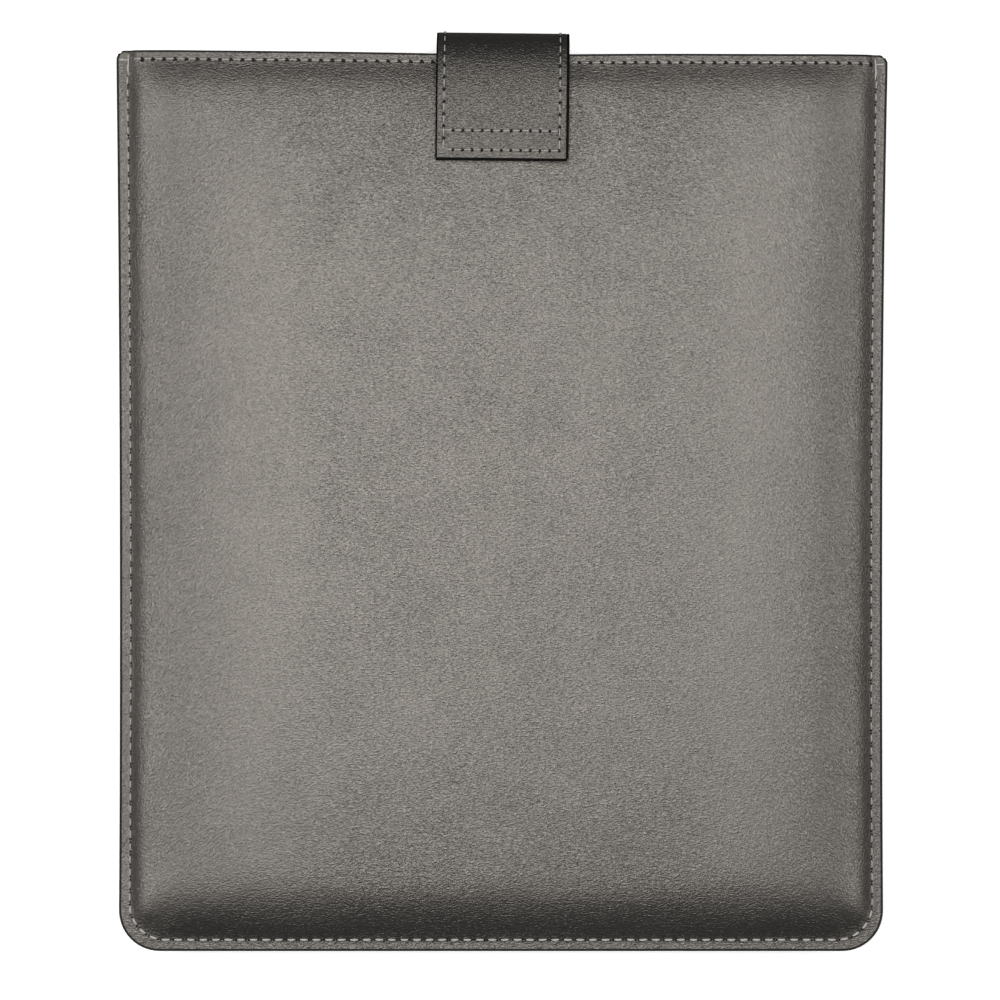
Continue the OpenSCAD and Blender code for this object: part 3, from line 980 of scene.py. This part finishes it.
def long_stitches(side):
    """The longer threads that tie the seam off at both ends of the mouth."""
    tied = []
    for end in (-1, 1):
        for x, y, along, share in (
            (half_w - 3.1 * MM, mouth_y - 3.4 * MM, Vector((0.04, 1, 0)), 2.7),
            (half_w - 1.7 * MM, mouth_y - 2.1 * MM, Vector((1, 0.1, 0)), 1.2),
        ):
            px, py = pattern_point(end * x, y)[0]
            place, up = on_cover(px, py, side)
            tied.append((place, Vector((end * along.x, along.y, 0)), up, (share, 0.95, 1.1)))
    return tied


for side, half in ((1, "front"), (-1, "rear")):
    seam_stitches, seam_holes = seam_spots(side)
    lip_stitches, lip_holes = lip_spots(side)
    piece = copies(half + "_seam_stitches", stitch, seam_stitches + long_stitches(side))
    finish_piece(piece, "case", ["seam_thread_" + half])
    piece = copies(half + "_mouth_stitches", stitch, lip_stitches)
    finish_piece(piece, "case", [half + "_mouth_thread"])
    piece = copies(half + "_needle_holes", hole, seam_holes + lip_holes)
    finish_piece(piece, "case", ())

# %% [markdown]
# ## The strap
# The strap is two layers of leather, with a thin plate and a magnet between them in the tab.
# It leaves the back lip, rises behind the mouth and folds over onto the front in an easy
# curve, because leather this thick doesn't crease sharply. A line of curves gives its middle,
# and each layer is a section carried along that line. It is cut in two at half height, into an
# upper and a lower part.

# %% The line of the strap
tab_low, tab_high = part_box("tab_outer")
root_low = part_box("strap_root_outer")[0]
bridge_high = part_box("bridge_outer")[1]
tab_z = (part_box("tab_lining")[0].z + tab_high.z) / 2
root_z = (root_low.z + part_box("strap_root_lining")[1].z) / 2
behind_y = (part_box("bridge_lining")[0].y + bridge_high.y) / 2
knots = [
    ((tab_low.y, tab_z - 0.15 * MM), (tab_low.y + 6 * MM, tab_z)),
    ((mouth_y - 13 * MM, tab_z + 0.5 * MM), (mouth_y - 3 * MM, tab_z + 0.5 * MM)),
    ((behind_y, 11.5 * MM), (behind_y, 6.5 * MM)),
    ((mouth_y - 1.5 * MM, root_z), (mouth_y - 5 * MM, root_z)),
    ((root_low.y, root_z), None),
]
arrivals = [None, (mouth_y - 18 * MM, tab_z + 0.5 * MM), (behind_y, 17.5 * MM),
            (mouth_y + 2.5 * MM, root_z), (root_low.y + 3 * MM, root_z)]


def strap_line(first, last):
    """Points (y, z) of the strap's middle from one knot to another."""
    points = []
    for k in range(first, last):
        start, leave = knots[k]
        stop = knots[k + 1][0]
        corners = [Vector((0, *c)) for c in (start, leave, arrivals[k + 1], stop)]
        points += [Vector((p.y, p.z)) for p in interpolate_bezier(*corners, 25)][(1 if points else 0):]
    return points


upper_line, lower_line = strap_line(0, 2), strap_line(2, 4)
strap_turn = math.radians(-0.65)
strap_shift = 0.45 * MM


def turned(x, y):
    """The strap was sewn on a degree askew."""
    c, s = math.cos(strap_turn), math.sin(strap_turn)
    return strap_shift + x * c - (y - mouth_y) * s, mouth_y + x * s + (y - mouth_y) * c


def strap_frame(line, k):
    """Middle point k of a line, and the direction out of the strap's face there."""
    run = (line[min(k + 1, len(line) - 1)] - line[max(k - 1, 0)]).normalized()
    return line[k], Vector((-run.y, run.x))


def core_share(y, z):
    """1 where the plate lies between the layers, 0 in the bridge."""
    if z < 12 * MM:
        return 0.0
    u = min(1.0, max(0.0, (mouth_y - 6 * MM - y) / (10 * MM)))
    return u * u * (3 - 2 * u)


def strap_point(line, k, x, offset):
    middle_point, out = strap_frame(line, k)
    px, py = turned(x, middle_point.x + out.x * offset)
    return Vector((px, py, middle_point.y + out.y * offset))


def offsets(layer, y, z):
    """Inner and outer face of a layer, measured out from the strap's middle."""
    core = core_share(y, z)
    half = (0.9 + 0.3 * core) * MM
    return {
        "outer": (half - leather, half), "lining": (-half, 0.8 * MM - half),
        "core": (0.8 * MM - half + 0.02 * MM, half - leather - 0.02 * MM), "all": (-half, half),
    }[layer]


def layer_ring(line, k, layer, half_width, centre=0.0, corner=0.2 * MM):
    """A rectangle with rounded corners, across the strap at point k."""
    low, high = offsets(layer, line[k].x, line[k].y)
    tall = high - low
    corner = min(corner, tall * 0.45)
    steps = 8
    flat = half_width - corner
    across = [-flat] + [flat * (2 * n / steps - 1) * 0.985 for n in range(steps + 1)] + [flat]
    ring = [(x, high) for x in across]
    cut = half_width - 0.3 * corner
    ring += [(cut, high - 0.3 * corner), (half_width, high - corner), (half_width, low + corner)]
    ring += [(-x, low) for x in across]
    ring += [(-half_width, low + corner), (-half_width, high - corner), (-cut, high - 0.3 * corner)]
    return [strap_point(line, k, centre + x, offset) for x, offset in ring]


def strap_layer(name, line, layer, half_width, centre=0.0, corner=0.2 * MM):
    return carried(name, [layer_ring(line, k, layer, half_width, centre, corner) for k in range(len(line))])


def finish_bend(obj, upper, replaced):
    """Smooth shading by angle, the transform baked into the mesh, and the CAD nodes it stands for hidden.
    """
    only(obj)
    bpy.ops.object.shade_smooth_by_angle(angle=math.radians(50))
    if upper:
        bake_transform(obj)
    else:
        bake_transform(obj)
    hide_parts(*replaced)
    print(obj.name, len(obj.data.vertices), "vertices")


# %% The strap's layers
for upper, line, part in ((True, upper_line, "upper"), (False, lower_line, "lower")):
    outer = strap_layer("strap_outer_" + part, line, "outer", strap_half, 0.0, 0.28 * MM)
    outer.data.materials.append(strap_leather_with_fold_shade)
    finish_bend(outer, upper,
                ["tab_outer", "bridge_outer"] if upper else ["strap_root_outer", "bridge_outer"])
    inner = strap_layer("strap_lining_" + part, line, "lining", strap_half - 0.1 * MM)
    inner.data.materials.append(split_leather)
    finish_bend(inner, upper,
                ["tab_lining", "bridge_lining"] if upper else ["strap_root_lining", "bridge_lining"])
    # Edge paint widened into painted shadow: the right bead is wider than the left, and the bead across the
    # tab's end is wide too.
    paint = [
        strap_layer("strap_paint_and_shadow", line, "all", wide * MM,
                    side * (strap_half + (wide - 0.15) * MM), 0.28 * MM)
        for side, wide in ((-1, 0.28), (1, 0.42))
    ]
    if upper:
        end_line = [line[0] + Vector((-0.8 * MM, -0.03 * MM)), line[0] + Vector((0.06 * MM, 0))]
        paint.append(strap_layer("strap_paint_and_shadow", end_line, "all", strap_half + 0.2 * MM, 0.0, 0.5 * MM))
    piece = joined("strap_edge_" + part, paint)
    piece.data.materials.append(strap_paint_and_shadow)
    finish_bend(piece, upper, ["tab_edge_paint"] if upper else ["strap_root_outer"])

# %% The plate in the tab
plate_line = [p for p in upper_line if tab_low.y + 9 * MM < p.x < tab_low.y + 20 * MM]
plate = strap_layer("tab_plate", plate_line, "core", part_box("tab_core")[1].x, 0.0, 0.05 * MM)
plate_sheet = noisy_material(
    "plate_sheet", (0.75, 0.75, 0.73), (0.85, 0.85, 0.83), 300.0, 0.35, 0.1, 0.0001
)
plate.data.materials.append(plate_sheet)
finish_piece(plate, "tab", ["tab_core"])

# %% [markdown]
# ## The strap's stitches
# Two rows run the whole length of the strap near its edges, and two more cross the tab by the
# magnet. On the back the strap's end is sewn through the cover.

# %% Stitches along and across the strap
column_x, end_row, cross_row = strap_half - 2 * MM, 2.2 * MM, 8.1 * MM


def strap_rows(line, upper, pitch=3.4 * MM):
    """Stitches and holes of the two long rows over one part of the strap."""
    stitches, holes = [], []
    spans = [p for p in line if (p.x > tab_low.y + end_row if upper else p.y > root_z + 2 * MM)]
    spots, pitch = evenly(spans, pitch)
    for x in (-column_x, column_x):
        for p, along in spots:
            out = Vector((-along.y, along.x))
            half = (0.9 + 0.3 * core_share(p.x, p.y)) * MM
            q = p + out * half
            px, py = turned(x, q.x)
            up, run = Vector((0, out.x, out.y)), Vector((-strap_turn, along.x, along.y))
            place = Vector((px, py, q.y))
            stitches.append((place, run, up, (0.92, 0.58, 0.8)))
            # A dark disc at the stitch's end: painted shade of its needle hole.
            holes.append((place + run.normalized() * 1.5 * MM, run, up, (0.58, 0.5, 1.0)))
    return stitches, holes


def cross_row_spots(distance, pitch=2.9 * MM):
    """A row across the tab at a distance from its end."""
    stitches, holes = [], []
    k = min(range(len(upper_line)), key=lambda n: abs(upper_line[n].x - tab_low.y - distance))
    _, out = strap_frame(upper_line, k)
    count = round(2 * column_x / pitch)
    for n in range(count):
        x = -column_x + (n + 0.5) * 2 * column_x / count
        place = strap_point(upper_line, k, x, 1.2 * MM)
        up = Vector((0, out.x, out.y))
        run = Vector((1, strap_turn + wobble(0.04), 0))
        stitches.append((place, run, up, (0.84 + wobble(0.04), 0.66, 0.8)))
        # A dark disc beside each cross stitch: painted shade of its needle hole.
        holes.append((place + Vector((1.3 * MM, -0.12 * MM, 0)), run, up, (0.52, 0.55, 1.0)))
    return stitches, holes


long_upper, long_upper_holes = strap_rows(upper_line, True)
end_stitches, end_holes = cross_row_spots(end_row)
cross_stitches, cross_holes = cross_row_spots(cross_row)
long_lower, long_lower_holes = strap_rows(lower_line, False)
piece = copies("strap_stitches_upper", stitch, long_upper + end_stitches)
finish_bend(piece, True, ["tab_border_thread", "bridge_thread"])
piece = copies("strap_stitches_lower", stitch, long_lower)
finish_bend(piece, False, ["bridge_thread"])
piece = copies("tab_cross_stitches", stitch, cross_stitches)
finish_piece(piece, "tab", ["tab_cross_thread"])
piece = copies("strap_holes_upper", hole, long_upper_holes + end_holes)
finish_bend(piece, True, ())
piece = copies("strap_holes_lower", hole, long_lower_holes)
finish_bend(piece, False, ())
piece = copies("tab_cross_holes", hole, cross_holes)
finish_piece(piece, "tab", ())

# %% The row on the back that holds the strap's end
anchor = []
for n in range(10):
    place, up = on_cover((n - 4.5) * 3.4 * MM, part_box("strap_anchor_thread")[1].y - 0.25 * MM, -1)
    anchor.append((place, Vector((1, wobble(0.03), 0)), up, (1.0, 0.95, 1.0)))
piece = copies("strap_anchor_stitches", stitch, anchor)
finish_piece(piece, "case", ["strap_anchor_thread"])
bpy.data.objects.remove(stitch)
bpy.data.objects.remove(hole)

# %% [markdown]
# ## Finish
# The scene is brought up to date at the end.

# %% Bring the scene up to date
bpy.context.view_layer.update()
